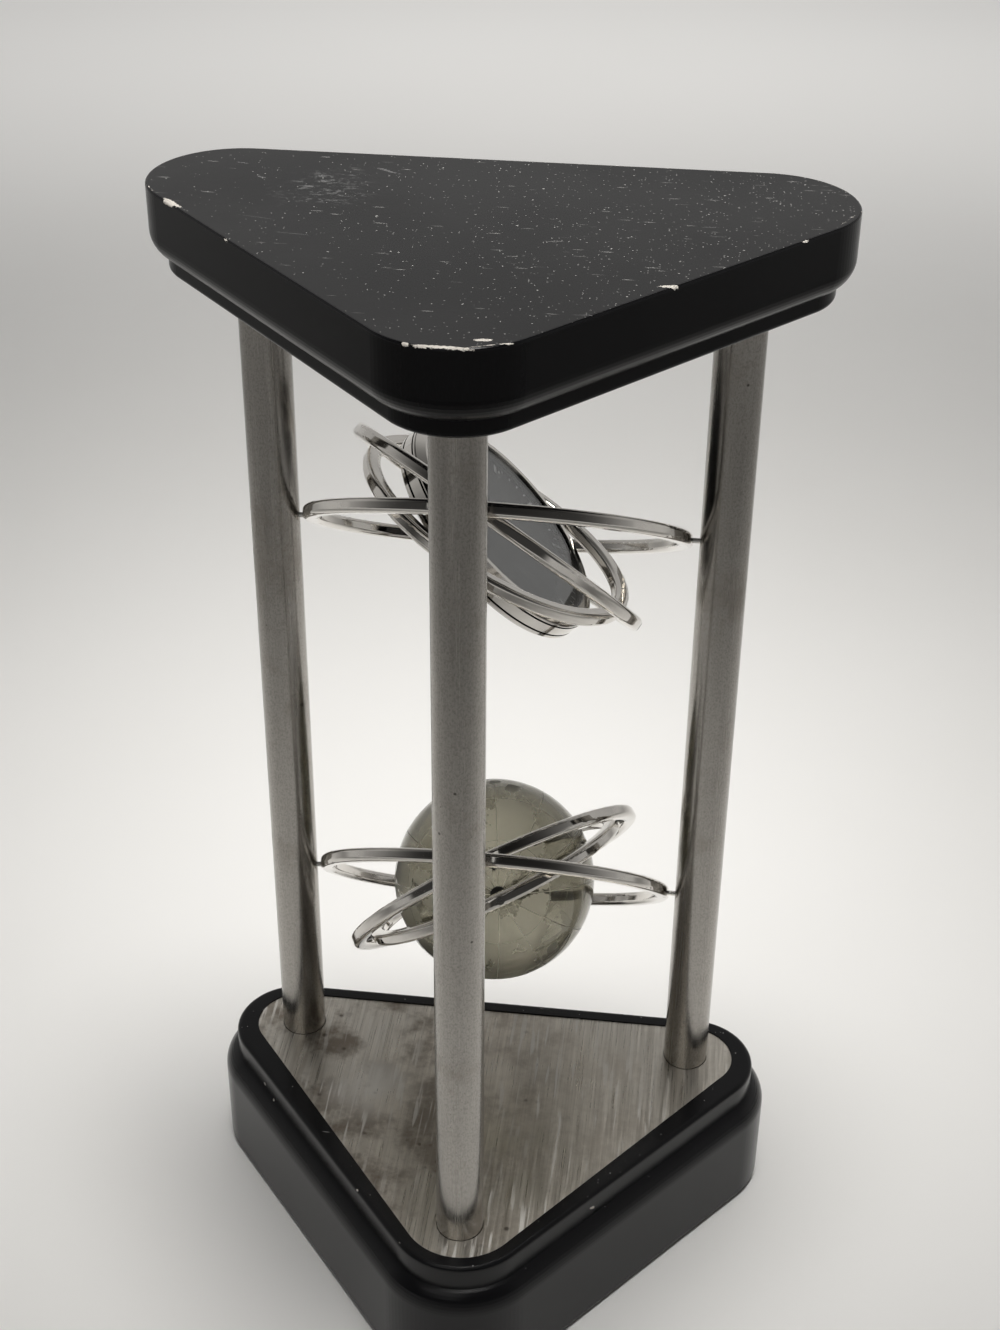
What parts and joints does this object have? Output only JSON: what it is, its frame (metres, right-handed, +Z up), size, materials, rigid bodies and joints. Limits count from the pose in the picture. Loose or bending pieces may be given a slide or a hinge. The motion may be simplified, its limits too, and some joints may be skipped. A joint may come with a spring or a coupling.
{
  "type": "spinning desk clock",
  "caption": "Desk clock hung in nested spinning rings above a clear globe in its own rings, between steel columns with a black rounded-triangle base and top",
  "frame": {"origin": "on the rest face under the felt, in the plane of symmetry, below the middle of the three columns", "axes": "+Z up, +X to the right seen from the single front column, +Y to the rear pair of columns"},
  "size_m": [0.1244, 0.1022, 0.2303],
  "materials": {
    "black_lacquer": "satin black paint over wood board",
    "plate_steel": "brushed along the depth, slightly tarnished",
    "felt": "dense felt",
    "column_steel": "satin drawn tube",
    "zinc_steel": "zinc plated",
    "chrome": "mirror chrome",
    "pin_steel": "bright drawn pin",
    "lens_glass": "clear",
    "dial_grey": "satin grey",
    "hand_metal": "dark satin",
    "cell_steel": "bright can",
    "black_plastic": "moulded, fine texture",
    "globe_glass": "clear seas, frosted land"
  },
  "bodies": {
    "stand": {"base_body": "black_lacquer", "base_plate": "plate_steel", "base_pad": "felt", "top_body": "black_lacquer", "column_left": "column_steel", "column_right": "column_steel", "column_front": "column_steel", "tie_rod_left": "zinc_steel", "tie_rod_right": "zinc_steel", "tie_rod_front": "zinc_steel", "rod_nut_left": "zinc_steel", "rod_nut_right": "zinc_steel", "rod_nut_front": "zinc_steel", "clock_pivot_left": "pin_steel", "clock_pivot_right": "pin_steel", "globe_pivot_left": "pin_steel", "globe_pivot_right": "pin_steel"},
    "clock_outer": {"clock_outer_ring": "chrome", "clock_outer_pin_front": "pin_steel", "clock_outer_pin_rear": "pin_steel"},
    "clock_middle": {"clock_middle_ring": "chrome", "clock_middle_pin_left": "pin_steel", "clock_middle_pin_right": "pin_steel"},
    "clock_inner": {"clock_inner_ring": "chrome", "clock_inner_pin_front": "pin_steel", "clock_inner_pin_rear": "pin_steel"},
    "clock": {"clock_case": "chrome", "clock_bezel": "chrome", "clock_lens": "lens_glass", "clock_dial": "dial_grey", "clock_movement": "black_plastic", "clock_cell": "cell_steel", "clock_back": "black_plastic", "cell_lid": "black_plastic"},
    "hour": {"hour_hand": "hand_metal"},
    "minute": {"minute_hand": "hand_metal"},
    "knob": {"setting_knob": "black_plastic"},
    "globe_outer": {"globe_outer_ring": "chrome", "globe_outer_pin_front": "pin_steel", "globe_outer_pin_rear": "pin_steel"},
    "globe_middle": {"globe_middle_ring": "chrome", "globe_middle_pin_left": "pin_steel", "globe_middle_pin_right": "pin_steel"},
    "globe_inner": {"globe_inner_ring": "chrome", "globe_inner_pin_front": "pin_steel", "globe_inner_pin_rear": "pin_steel"},
    "globe": {"globe_half_front": "globe_glass", "globe_half_rear": "globe_glass", "globe_hub_front": "black_plastic", "globe_hub_rear": "black_plastic"}
  },
  "joints": [
    {"name": "clock_outer_spin", "type": "hinge", "parent": "stand", "child": "clock_outer", "pos_m": [0, 0.01838, 0.1625], "axis": [1, 0, 0], "continuous": true},
    {"name": "clock_middle_spin", "type": "hinge", "parent": "clock_outer", "child": "clock_middle", "pos_m": [0, 0.01838, 0.1625], "axis": [0, 0.8329, -0.5534], "continuous": true},
    {"name": "clock_inner_spin", "type": "hinge", "parent": "clock_middle", "child": "clock_inner", "pos_m": [0, 0.01838, 0.1625], "axis": [0.8572, -0.285, -0.429], "continuous": true},
    {"name": "clock_spin", "type": "hinge", "parent": "clock_inner", "child": "clock", "pos_m": [0, 0.01838, 0.1625], "axis": [0.1846, 0.9476, -0.2608], "continuous": true},
    {"name": "minute_turn", "type": "hinge", "parent": "clock", "child": "minute", "pos_m": [0, 0.01838, 0.1625], "axis": [-0.7163, -0.052, -0.6958], "continuous": true},
    {"name": "hour_turn", "type": "hinge", "parent": "clock", "child": "hour", "pos_m": [0, 0.01838, 0.1625], "axis": [-0.7163, -0.052, -0.6958], "continuous": true},
    {"name": "knob_turn", "type": "hinge", "parent": "clock", "child": "knob", "pos_m": [-0.01044, 0.02138, 0.16598], "axis": [-0.7163, -0.052, -0.6958], "continuous": true},
    {"name": "globe_outer_spin", "type": "hinge", "parent": "stand", "child": "globe_outer", "pos_m": [0, 0.01838, 0.0768], "axis": [1, 0, 0], "continuous": true},
    {"name": "globe_middle_spin", "type": "hinge", "parent": "globe_outer", "child": "globe_middle", "pos_m": [0, 0.01838, 0.0768], "axis": [0, 0.7145, -0.6997], "continuous": true},
    {"name": "globe_inner_spin", "type": "hinge", "parent": "globe_middle", "child": "globe_inner", "pos_m": [0, 0.01838, 0.0768], "axis": [0.866, 0.3498, 0.3572], "continuous": true},
    {"name": "globe_spin", "type": "hinge", "parent": "globe_inner", "child": "globe", "pos_m": [0, 0.01838, 0.0768], "axis": [-0.1403, 0.8558, -0.4979], "continuous": true}
  ],
  "couplings": [
    {"joint": "hour_turn", "follows": "minute_turn", "ratio": 0.083333},
    {"joint": "knob_turn", "follows": "minute_turn", "ratio": -3}
  ]
}
